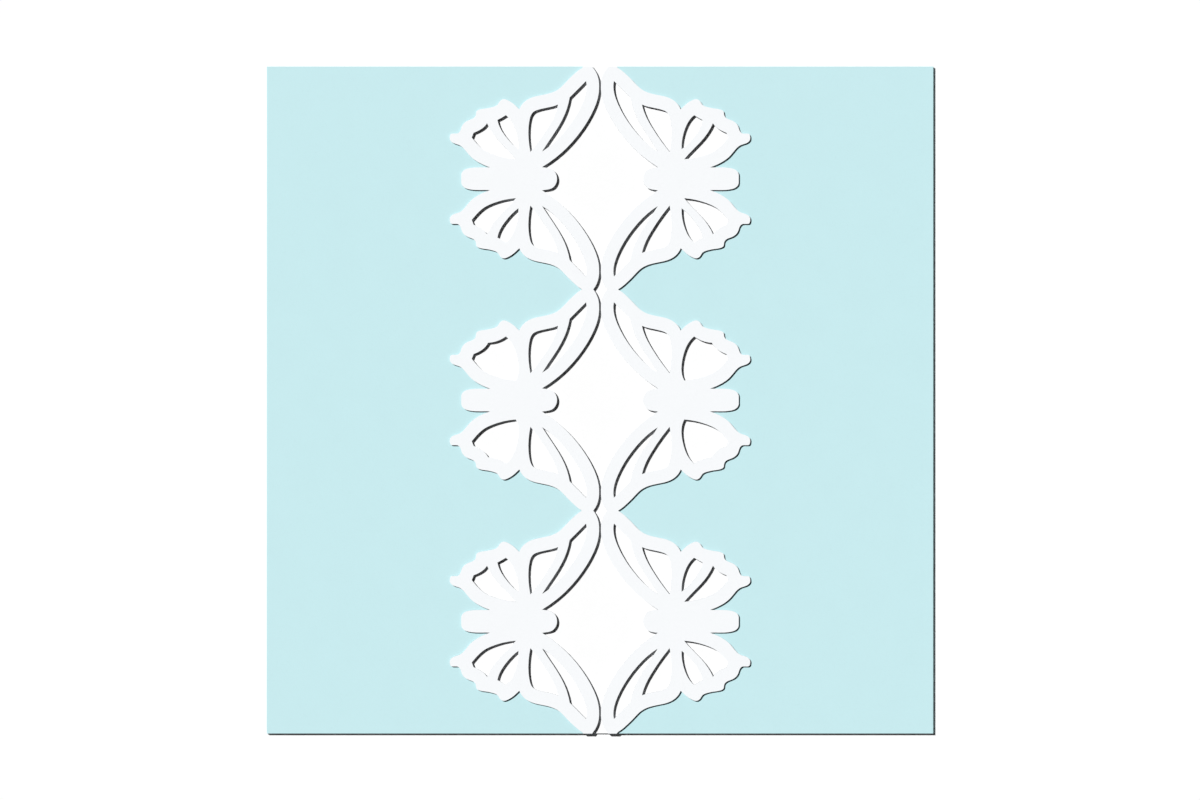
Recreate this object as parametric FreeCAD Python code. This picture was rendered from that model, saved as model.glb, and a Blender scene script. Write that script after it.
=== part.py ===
import FreeCAD, Part
import os
from FreeCAD import Vector

# A gatefold greeting card, closed and lying on its back. One sheet of card, blue outside
# and white inside, is folded twice: a square back panel carries a flap on each side, and
# the two flaps meet along the middle. The free edge of each flap is cut as a column of
# butterflies that lie on their sides, heads to the middle, joined at the wing tips, and
# the cells of their wings are cut out. A white die-cut trim of the same outline is glued
# face to face on each flap.
#
# Frame: millimetres, +Z up, +X to the right, +Y to the head of the card. The origin is
# at the middle of the underside of the back panel.

# The folded sheet
card_width = 152.4            # over both folds
card_height = 152.4
sheet_thickness = 0.25
fold_gap = 0.1                # between the back panel and a closed flap
fold_round = 0.15             # outer rounding of a fold, which is creased and pressed flat

# The butterfly columns, cut out of the flaps and out of the trims
trim_thickness = 0.5
middle_gap = 0.36             # between the two columns, where the wings come closest
butterfly_count = 3
tip_run = 0.4                 # how far an end tip runs on to reach the edge of the card

# The drawing of one butterfly, which is scaled so that the column fills the height of the
# card. In each point, the first number is the distance from the front of the wings and
# the second the distance from the butterfly's own axis. Only one wing is drawn, because
# the other is its mirror image. The outline runs from the tail round the wing to the head.
tail = [(24.95, 2.6), (27.3, 2.6), (29.6, 2.43), (30.8, 2.0), (31.35, 1.4), (31.5, 0.0)]
hindwing_edge = [
    (24.95, 2.6), (26.6, 3.25), (28.15, 4.1), (29.5, 5.2), (30.65, 6.6), (31.9, 7.65),
    (33.4, 8.2), (34.05, 8.88), (34.1, 9.58), (33.88, 10.18), (33.2, 10.32), (32.2, 10.4),
]
hindwing_scallops = [
    (32.2, 10.4), (31.63, 11.13), (31.33, 12.02), (30.82, 12.72), (29.82, 13.35),
    (28.65, 13.85), (28.18, 14.48), (28.03, 15.32), (27.2, 15.83), (25.7, 16.07),
    (24.2, 16.4), (23.2, 16.9), (22.6, 17.77), (21.8, 18.17), (20.9, 17.93), (19.8, 17.28),
    (18.24, 15.86),
]
forewing_edge = [
    (18.24, 15.86), (17.75, 16.78), (16.56, 17.94), (14.9, 18.7), (12.7, 19.18),
    (10.66, 19.72), (9.1, 20.57), (7.58, 22.08), (6.0, 23.65), (4.85, 24.65), (3.95, 25.25),
]
end_tip_back, end_tip_front = 3.6, 1.6    # its corners, where the edge of the card cuts it off
leading_edge = [
    (1.35, 25.25), (0.72, 24.3), (0.22, 23.0), (0.0, 21.2), (0.2, 18.9),
    (1.4, 15.45), (4.02, 11.05), (7.5, 6.95), (10.85, 4.1), (13.02, 2.65),
]
head = [(13.02, 2.65), (11.8, 2.48), (10.6, 2.05), (9.9, 1.2), (9.62, 0.0)]

# The cells of a wing, each as the list of its sides from corner to corner
forewing_front_cell = [
    [(3.0, 22.3), (6.73, 18.56)],
    [(6.73, 18.56), (7.08, 16.95), (7.7, 15.07), (9.48, 11.6), (11.78, 8.13), (13.0, 6.25)],
    [(13.0, 6.25), (10.9, 7.75), (7.95, 10.72), (5.45, 14.17), (3.73, 17.5), (2.93, 20.27),
     (3.0, 22.3)],
]
forewing_back_cell = [
    [(9.4, 16.93), (11.9, 16.22), (13.75, 15.8), (15.08, 15.18), (15.95, 13.1), (16.16, 10.5),
     (16.0, 8.0), (15.7, 6.13)],
    [(15.7, 6.13), (14.1, 8.17), (11.86, 11.45), (10.2, 14.48), (9.4, 16.93)],
]
hindwing_front_cell = [
    [(21.3, 14.5), (22.2, 13.95), (23.22, 13.42)],
    [(23.22, 13.42), (22.7, 11.78), (21.48, 9.82), (20.1, 8.2), (18.45, 6.75)],
    [(18.45, 6.75), (18.57, 8.92), (19.0, 10.76), (19.82, 12.73), (21.3, 14.5)],
]
hindwing_back_cell = [
    [(25.6, 12.68), (26.23, 11.88), (27.1, 11.22), (28.66, 10.48)],
    [(28.66, 10.48), (29.08, 9.4)],
    [(29.08, 9.4), (27.7, 7.8), (26.3, 6.6), (24.2, 5.58), (21.9, 4.88), (19.05, 4.45)],
    [(19.05, 4.45), (21.22, 6.83), (23.4, 9.13), (24.68, 10.9), (25.6, 12.68)],
]
hindwing_open_cell = [        # the middle butterfly has this one in place of the two above
    [(21.3, 14.5), (23.22, 13.47), (25.35, 13.05)],
    [(25.35, 13.05), (26.23, 11.88), (27.1, 11.22), (28.66, 10.48)],
    [(28.66, 10.48), (29.08, 9.4)],
    [(29.08, 9.4), (27.7, 7.8), (26.3, 6.6), (24.2, 5.58), (21.9, 4.88), (19.05, 4.45)],
    [(19.05, 4.45), (18.43, 6.67), (18.57, 8.92), (19.0, 10.76), (19.82, 12.73), (21.3, 14.5)],
]

# Worked-out sizes
inner_fold_round = 0.4 * fold_gap
flap_underside = sheet_thickness + fold_gap
flap_top = flap_underside + sheet_thickness
neck_back, neck_front = forewing_edge[-1], leading_edge[0]    # where two butterflies join
drawn_span = 2 * neck_front[1]
butterfly_pitch = (card_height - 2 * tip_run) / butterfly_count
drawing_scale = butterfly_pitch / drawn_span
end_out = drawn_span / 2 + tip_run / drawing_scale            # the edge of the card
butterfly_axes = [
    (row - (butterfly_count - 1) / 2) * butterfly_pitch for row in range(butterfly_count)
]
overrun = 1.0                 # how far a cut runs on past what it cuts


def placed(point, axis, wing):
    """A drawing point on the left half of the card, on the wing above (1) or below (-1)."""
    back, out = point
    return Vector(-middle_gap / 2 - back * drawing_scale, axis + wing * out * drawing_scale, 0)


def side(points, axis, wing=1):
    """One side of an outline: straight between two points, smooth through more."""
    vectors = [placed(point, axis, wing) for point in points]
    if len(vectors) == 2:
        return Part.makeLine(vectors[0], vectors[1])
    curve = Part.BSplineCurve()
    curve.interpolate(vectors)
    return curve.toShape()


def both_halves(points):
    """The whole of a side that crosses the axis, from the half that is drawn."""
    return points + [(back, -out) for back, out in reversed(points[:-1])]


def long_side(middle, wing_sides):
    """One long side of the left column, through every butterfly."""
    edges = []
    for axis in butterfly_axes:
        edges.append(side(both_halves(middle), axis))
        edges += [side(points, axis, wing) for points in wing_sides for wing in (1, -1)]
    return edges


def at_both_ends(*points):
    """A line through these points of the last wing, and the same one at the other end."""
    ends = ((butterfly_axes[-1], 1), (butterfly_axes[0], -1))
    return [side(pair, axis, wing) for axis, wing in ends for pair in zip(points, points[1:])]


def face_of(edges):
    return Part.Face(Part.Wire(Part.__sortEdges__(edges)))


def mirrored(shape):
    """The same shape on the other half of the card."""
    return shape.mirror(Vector(0, 0, 0), Vector(1, 0, 0))


def column_face():
    """The left column of butterflies, with its wings still whole."""
    back = long_side(tail, [hindwing_edge, hindwing_scallops, forewing_edge])
    front = long_side(head, [leading_edge])
    ends = at_both_ends(neck_back, (end_tip_back, end_out), (end_tip_front, end_out), neck_front)
    return face_of(back + front + ends)


def opening_face():
    """The opening between the two columns, which runs off the card at both ends."""
    corner, beyond = (end_tip_front, end_out), (end_tip_front, end_out + overrun)
    left = long_side(head, [leading_edge]) + at_both_ends(neck_front, corner, beyond)
    right = [mirrored(edge) for edge in left]
    top, bottom = placed(beyond, butterfly_axes[-1], 1), placed(beyond, butterfly_axes[0], -1)
    closing = [Part.makeLine(point, Vector(-point.x, point.y, 0)) for point in (top, bottom)]
    return face_of(left + right + closing)


def cell_faces():
    """The cells cut out of the wings of the left column."""
    faces = []
    for row, axis in enumerate(butterfly_axes):
        cells = [forewing_front_cell, forewing_back_cell]
        if row in (0, butterfly_count - 1):
            cells += [hindwing_front_cell, hindwing_back_cell]
        else:
            cells += [hindwing_open_cell]
        for cell in cells:
            faces += [face_of([side(points, axis, wing) for points in cell]) for wing in (1, -1)]
    return faces


def flat_bar(width, bottom, top, rounding):
    """A solid bar along the card, flat all round, with its four long edges rounded."""
    corner = Vector(-width / 2, -card_height / 2, bottom)
    bar = Part.makeBox(width, card_height, top - bottom, corner)
    long_edges = [edge for edge in bar.Edges if abs(edge.tangentAt(0).y) > 0.9]
    return bar.makeFillet(rounding, long_edges)


def folded_card():
    """The folded sheet, with the opening and the cells cut through its flaps only."""
    inner_width = card_width - 2 * sheet_thickness
    outside = flat_bar(card_width, 0, flap_top, fold_round)
    inside = flat_bar(inner_width, sheet_thickness, flap_underside, inner_fold_round)
    cells = cell_faces()
    cuts = [opening_face()] + cells + [mirrored(cell) for cell in cells]
    cut_bottom = sheet_thickness + fold_gap / 2
    cut_depth = flap_top + overrun - cut_bottom
    cutters = [cut.extrude(Vector(0, 0, cut_depth)).translated(Vector(0, 0, cut_bottom)) for cut in cuts]
    return outside.cut([inside] + cutters)


def left_trim():
    """The white trim, glued on the left flap."""
    upward = Vector(0, 0, trim_thickness)
    cells = [cell.extrude(upward) for cell in cell_faces()]
    return column_face().extrude(upward).cut(cells).translated(Vector(0, 0, flap_top))


nodes = {
    "card_base": folded_card(),
    "left_butterfly_trim": left_trim(),
    "right_butterfly_trim": mirrored(left_trim()),
}
os.makedirs("parts", exist_ok=True)
for name, shape in nodes.items():
    shape.exportStep(f"parts/{name}.step")
    box = shape.BoundBox
    print(f"{name}: {len(shape.Solids)} solid, valid {shape.isValid()}, {shape.Volume:.1f} mm3,"
          f" z {box.ZMin:.2f} to {box.ZMax:.2f}")
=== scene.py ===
import math

import bpy
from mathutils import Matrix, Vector


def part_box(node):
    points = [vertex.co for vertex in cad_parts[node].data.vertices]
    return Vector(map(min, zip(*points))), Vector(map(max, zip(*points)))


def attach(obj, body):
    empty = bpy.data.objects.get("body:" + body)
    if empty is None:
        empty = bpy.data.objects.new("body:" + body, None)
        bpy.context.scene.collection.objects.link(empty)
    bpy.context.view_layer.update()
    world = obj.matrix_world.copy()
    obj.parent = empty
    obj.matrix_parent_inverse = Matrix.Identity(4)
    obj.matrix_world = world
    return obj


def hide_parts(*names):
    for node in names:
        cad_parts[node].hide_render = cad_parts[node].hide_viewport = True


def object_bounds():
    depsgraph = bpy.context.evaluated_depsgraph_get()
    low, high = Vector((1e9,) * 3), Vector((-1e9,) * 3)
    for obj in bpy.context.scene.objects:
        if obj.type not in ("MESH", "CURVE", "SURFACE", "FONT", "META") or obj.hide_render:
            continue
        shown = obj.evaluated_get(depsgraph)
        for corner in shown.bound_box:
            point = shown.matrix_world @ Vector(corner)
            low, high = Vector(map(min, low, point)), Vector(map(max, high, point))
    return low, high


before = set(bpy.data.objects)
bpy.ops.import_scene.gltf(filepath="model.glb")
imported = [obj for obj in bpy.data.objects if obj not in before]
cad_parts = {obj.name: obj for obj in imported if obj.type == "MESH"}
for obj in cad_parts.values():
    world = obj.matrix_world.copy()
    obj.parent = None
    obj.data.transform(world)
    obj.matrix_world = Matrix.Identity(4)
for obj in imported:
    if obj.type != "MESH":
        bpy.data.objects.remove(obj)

mm = 0.001
white = (1.0, 1.0, 1.0, 1.0)
mixSockets = {"factor": 0, "under": 6, "over": 7, "result": 2}    # of a mix node set to colour
scene = bpy.context.scene
scene.view_settings.view_transform = "Standard"
cadLow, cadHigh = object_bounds()    # the box of the CAD model


def linear(red, green, blue):    # from 0 to 255 on the sRGB curve, for a shader socket
    def channel(value):
        value /= 255
        return value / 12.92 if value <= 0.04045 else ((value + 0.055) / 1.055) ** 2.4
    return (channel(red), channel(green), channel(blue), 1.0)


def shaded(colour, share):
    red, green, blue, alpha = colour
    return (red * share, green * share, blue * share, alpha)


def addNode(owner, kind, **values):    # the owner of a node tree is a material or the world
    node = owner.node_tree.nodes.new(kind)
    for name, value in values.items():
        if name in node.inputs:
            node.inputs[name].default_value = value
        else:
            setattr(node, name, value)
    return node


def join(owner, source, target):
    owner.node_tree.links.new(source, target)


def addGrain(owner, size, detail, turn=0.0):    # cloudy noise whose lumps are this size along X, Y and Z
    place = addNode(owner, "ShaderNodeTexCoord")
    lay = addNode(owner, "ShaderNodeMapping", vector_type="TEXTURE", Rotation=(0, 0, turn), Scale=size)
    noise = addNode(owner, "ShaderNodeTexNoise", Scale=1.0, Detail=detail)
    join(owner, place.outputs["Object"], lay.inputs["Vector"])
    join(owner, lay.outputs["Vector"], noise.inputs["Vector"])
    return noise.outputs["Fac"]


def addRange(owner, value, given, wanted):
    node = addNode(owner, "ShaderNodeMapRange")
    for name, end in zip(("From Min", "From Max", "To Min", "To Max"), given + wanted):
        node.inputs[name].default_value = end
    join(owner, value, node.inputs["Value"])
    return node.outputs["Result"]


def addTone(owner, kind, factor, under, over):    # under and over are colours or sockets
    node = addNode(owner, "ShaderNodeMix", data_type="RGBA", blend_type=kind)
    for name, source in (("factor", factor), ("under", under), ("over", over)):
        socket = node.inputs[mixSockets[name]]
        if isinstance(source, bpy.types.NodeSocket):
            join(owner, source, socket)
        else:
            socket.default_value = source
    return node.outputs[mixSockets["result"]]


blueFace = {
    "colour": (201, 236, 240),
    "cloudShade": 0.975,          # how dark the cloudy patches are, against the colour
    "roughness": (0.82, 0.95),
    "tooth": 0.010 * mm,          # height of the paper's grain
    "grain": 0.35 * mm,
}
insideFace = {
    "colour": (255, 255, 255),
    "cloudShade": 0.985,
    "roughness": (0.82, 0.95),
    "tooth": 0.010 * mm,
    "grain": 0.35 * mm,
}
trimFace = {
    "colour": (248, 250, 252),
    "cloudShade": 0.985,
    "roughness": (0.70, 0.85),
    "tooth": 0.006 * mm,
    "grain": 0.25 * mm,
}
shadedCutFace = {
    # painted shade: the cut walls are greyer than the board itself, to dim the light they throw back and
    # deepen the shadow lines beside them
    "colour": (150, 153, 156),
    "plyPaintedShadow": 0.78,             # how dark the painted shadow between two plies of the board is
    "plyLength": 1.2 * mm,
    "plyDepth": 0.05 * mm,
    "roughness": (0.90, 1.0),
    "tooth": 0.012 * mm,
    "grain": 0.12 * mm,
}
pulp = {
    "gloss": 0.3,                 # the specular level of uncoated paper
    "cloud": 7 * mm,              # size of the patches where the pulp lies thicker
    "cloudDetail": 3.0,
    "fibreLength": 1.6 * mm,
    "fibreWidth": 0.12 * mm,
    "fibreTurns": (12, 74, 131),  # degrees, one lay of fibres for each
    "fibreCover": (0.62, 0.75),   # where the noise starts to show a fibre, and shows it whole
    "fibreShade": 0.975,
    "fibreDetail": 2.0,
    "grainDetail": 4.0,
}


def startPaper(name):
    material = bpy.data.materials.new(name)
    material.use_nodes = True
    shader = material.node_tree.nodes["Principled BSDF"]
    shader.inputs["Specular IOR Level"].default_value = pulp["gloss"]
    return material, shader


def addTooth(material, shader, look):    # the grain roughens the sheet and stands proud of it
    grain = addGrain(material, [look["grain"]] * 3, pulp["grainDetail"])
    rough = addRange(material, grain, (0.0, 1.0), look["roughness"])
    tooth = addNode(material, "ShaderNodeBump", Strength=1.0, Distance=look["tooth"])
    join(material, rough, shader.inputs["Roughness"])
    join(material, grain, tooth.inputs["Height"])
    join(material, tooth.outputs["Normal"], shader.inputs["Normal"])


def sheetPaper(name, look):      # a face of the sheet, with clouds of pulp and stray fibres
    material, shader = startPaper(name)
    base = linear(*look["colour"])
    cloud = addGrain(material, [pulp["cloud"]] * 3, pulp["cloudDetail"])
    colour = addTone(material, "MIX", cloud, base, shaded(base, look["cloudShade"]))
    fibreSize = (pulp["fibreLength"], pulp["fibreWidth"], pulp["fibreLength"])
    fibreTone = shaded(white, pulp["fibreShade"])
    for turn in pulp["fibreTurns"]:
        lay = addGrain(material, fibreSize, pulp["fibreDetail"], math.radians(turn))
        fibre = addRange(material, lay, pulp["fibreCover"], (0.0, 1.0))
        colour = addTone(material, "MULTIPLY", fibre, colour, fibreTone)
    join(material, colour, shader.inputs["Base Color"])
    addTooth(material, shader, look)
    return material


def edgePaper(name, look):       # a cut edge, in the darkened grey of painted shade, where painted shadow lines between the plies of the board show as fine lines
    material, shader = startPaper(name)
    base = linear(*look["colour"])
    plySize = (look["plyLength"], look["plyLength"], look["plyDepth"])
    plies = addGrain(material, plySize, pulp["fibreDetail"])
    colour = addTone(material, "MIX", plies, base, shaded(base, look["plyPaintedShadow"]))
    join(material, colour, shader.inputs["Base Color"])
    addTooth(material, shader, look)
    return material


bluePaper = sheetPaper("bluePaper", blueFace)
insidePaper = sheetPaper("insidePaper", insideFace)
trimPaper = sheetPaper("trimPaper", trimFace)
shadedCutPaper = edgePaper("shadedCutPaper", shadedCutFace)
print("papers made")


cutting = {
    "merge": 0.0005 * mm,            # points of the copied mesh nearer than this are one
    "flat": math.radians(0.5),       # faces that turn less than this are one
    "rimRound": 0.02 * mm,           # a knife leaves the rim of the board this soft
    "rimSegments": 2,
    "rimTurn": math.radians(60),     # a rim turns more than this
    "smoothTurn": math.radians(35),  # a curved wall turns less than this from face to face
    "level": 0.9999,                 # a normal this near an axis lies along it
    "upright": 0.5,                  # the normal of a wall rises or sinks less than this
}


def copyOf(node, name):
    bpy.ops.object.select_all(action="DESELECT")
    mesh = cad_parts[node].data.copy()
    mesh.name = name
    mesh.materials.clear()
    piece = bpy.data.objects.new(name, mesh)
    scene.collection.objects.link(piece)
    piece.select_set(True)
    bpy.context.view_layer.objects.active = piece
    bpy.ops.object.mode_set(mode="EDIT")
    bpy.ops.mesh.select_all(action="SELECT")
    bpy.ops.mesh.remove_doubles(threshold=cutting["merge"])
    bpy.ops.mesh.dissolve_limited(angle_limit=cutting["flat"])
    bpy.ops.mesh.normals_make_consistent(inside=False)
    bpy.ops.object.mode_set(mode="OBJECT")
    return piece


def soften(piece):
    rim = piece.modifiers.new("rim", "BEVEL")
    rim.width = cutting["rimRound"]
    rim.segments = cutting["rimSegments"]
    rim.limit_method = "ANGLE"
    rim.angle_limit = cutting["rimTurn"]
    split = piece.modifiers.new("split", "TRIANGULATE")    # leaves no triangle a sliver
    split.quad_method = split.ngon_method = "BEAUTY"
    for name in ("rim", "split"):
        bpy.ops.object.modifier_apply(modifier=name)
    bpy.ops.object.shade_smooth_by_angle(angle=cutting["smoothTurn"])
    for face in piece.data.polygons:    # the sheet itself stays flat up to its softened rim
        if abs(face.normal.z) > cutting["level"]:
            face.use_smooth = False


folding = {
    "skin": 0.1 * mm,            # the outside lies no deeper than this in the card's box, folds and all
}


def paintCard(piece):
    low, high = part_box("card_base")
    foldStart = high.x - (high.z - low.z)
    for material in (bluePaper, insidePaper, shadedCutPaper):
        piece.data.materials.append(material)
    blue, inside, cut = range(3)
    for face in piece.data.polygons:
        centre, normal = face.center, face.normal
        atEnd = abs(normal.y) > cutting["level"]
        atOpening = abs(normal.z) < cutting["upright"] and abs(centre.x) < foldStart
        depth = min(high.x - abs(centre.x), high.z - centre.z, centre.z - low.z)
        if atEnd or atOpening:
            face.material_index = cut
        elif depth < folding["skin"]:
            face.material_index = blue
        else:
            face.material_index = inside


def paintTrim(piece):
    for material in (trimPaper, shadedCutPaper):
        piece.data.materials.append(material)
    paper, cut = range(2)
    for face in piece.data.polygons:
        isWall = abs(face.normal.z) < cutting["upright"]
        face.material_index = cut if isWall else paper


card = copyOf("card_base", "foldedCard")
paintCard(card)
soften(card)
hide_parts("card_base")
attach(card, "root")
print("card made")

for name, node in (("leftTrim", "left_butterfly_trim"), ("rightTrim", "right_butterfly_trim")):
    trim = copyOf(node, name)
    paintTrim(trim)
    soften(trim)
    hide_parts(node)
    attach(trim, "root")
print("trims made")


studio = {
    "keyShare": 0.98,                # of the light on a flat sheet, the rest comes from all round
    "keyHeight": math.radians(50),
    "keyTurn": math.radians(140),    # it comes from the upper left
    "keySpread": math.radians(3),
    "floorSize": 6.0,
    "floorDrop": 0.3 * mm,           # how far it lies under the card, because paper never lies quite flat
    "floorBounce": 0.8,              # how pale it is to the light that it throws back
    "floorLift": 0.015,              # keeps the lit floor at white
}
lens = {
    "focal": 150.0,
    "sensor": 36.0,
    "cardShare": 0.5561,             # of the picture's width that the card takes up
}


def showsBackground(owner):    # 1 where the camera, a gloss or a clear piece sees this surface
    path = addNode(owner, "ShaderNodeLightPath")
    seen = path.outputs["Is Camera Ray"]
    for ray in ("Is Glossy Ray", "Is Transmission Ray"):
        either = addNode(owner, "ShaderNodeMath", operation="MAXIMUM")
        join(owner, seen, either.inputs[0])
        join(owner, path.outputs[ray], either.inputs[1])
        seen = either.outputs["Value"]
    return seen


def makeFloor():
    bpy.ops.object.select_all(action="DESELECT")
    height = cadLow.z - studio["floorDrop"]
    bpy.ops.mesh.primitive_plane_add(size=studio["floorSize"], location=(0, 0, height))
    floor = bpy.context.active_object
    floor.name = "floor"
    bpy.ops.object.transform_apply(location=True, rotation=True, scale=True)
    material = bpy.data.materials.new("floorWhite")
    material.use_nodes = True
    material.node_tree.nodes.clear()
    bounce = addNode(material, "ShaderNodeBsdfDiffuse", Color=shaded(white, studio["floorBounce"]))
    paint = addNode(material, "ShaderNodeBsdfDiffuse", Color=white)
    lift = addNode(material, "ShaderNodeEmission", Color=white, Strength=studio["floorLift"])
    backdrop = addNode(material, "ShaderNodeAddShader")
    choice = addNode(material, "ShaderNodeMixShader")
    output = addNode(material, "ShaderNodeOutputMaterial")
    join(material, paint.outputs["BSDF"], backdrop.inputs[0])
    join(material, lift.outputs["Emission"], backdrop.inputs[1])
    join(material, showsBackground(material), choice.inputs["Fac"])
    join(material, bounce.outputs["BSDF"], choice.inputs[1])
    join(material, backdrop.outputs["Shader"], choice.inputs[2])
    join(material, choice.outputs["Shader"], output.inputs["Surface"])
    floor.data.materials.append(material)


def makeWorld():
    world = bpy.data.worlds.new("studio")
    scene.world = world
    world.use_nodes = True
    background = world.node_tree.nodes["Background"]
    background.inputs["Color"].default_value = white
    strength = addRange(world, showsBackground(world), (0.0, 1.0), (1 - studio["keyShare"], 1.0))
    join(world, strength, background.inputs["Strength"])


def makeKey():
    key = bpy.data.lights.new("key", "SUN")
    key.energy = math.pi * studio["keyShare"] / math.sin(studio["keyHeight"])
    key.angle = studio["keySpread"]
    lamp = bpy.data.objects.new("key", key)
    scene.collection.objects.link(lamp)
    level = math.cos(studio["keyHeight"])
    toward = Vector((level * math.cos(studio["keyTurn"]), level * math.sin(studio["keyTurn"]),
                     math.sin(studio["keyHeight"])))
    lamp.rotation_euler = toward.to_track_quat("Z", "Y").to_euler()


def makeCamera():    # it looks straight down at the middle of the card
    camera = bpy.data.cameras.new("camera")
    camera.lens = lens["focal"]
    camera.sensor_width = lens["sensor"]
    holder = bpy.data.objects.new("camera", camera)
    scene.collection.objects.link(holder)
    viewWidth = (cadHigh.x - cadLow.x) / lens["cardShare"]
    holder.location = (0, 0, cadHigh.z + viewWidth * lens["focal"] / lens["sensor"])
    scene.camera = holder


makeFloor()
makeWorld()
makeKey()
makeCamera()
print("studio made")
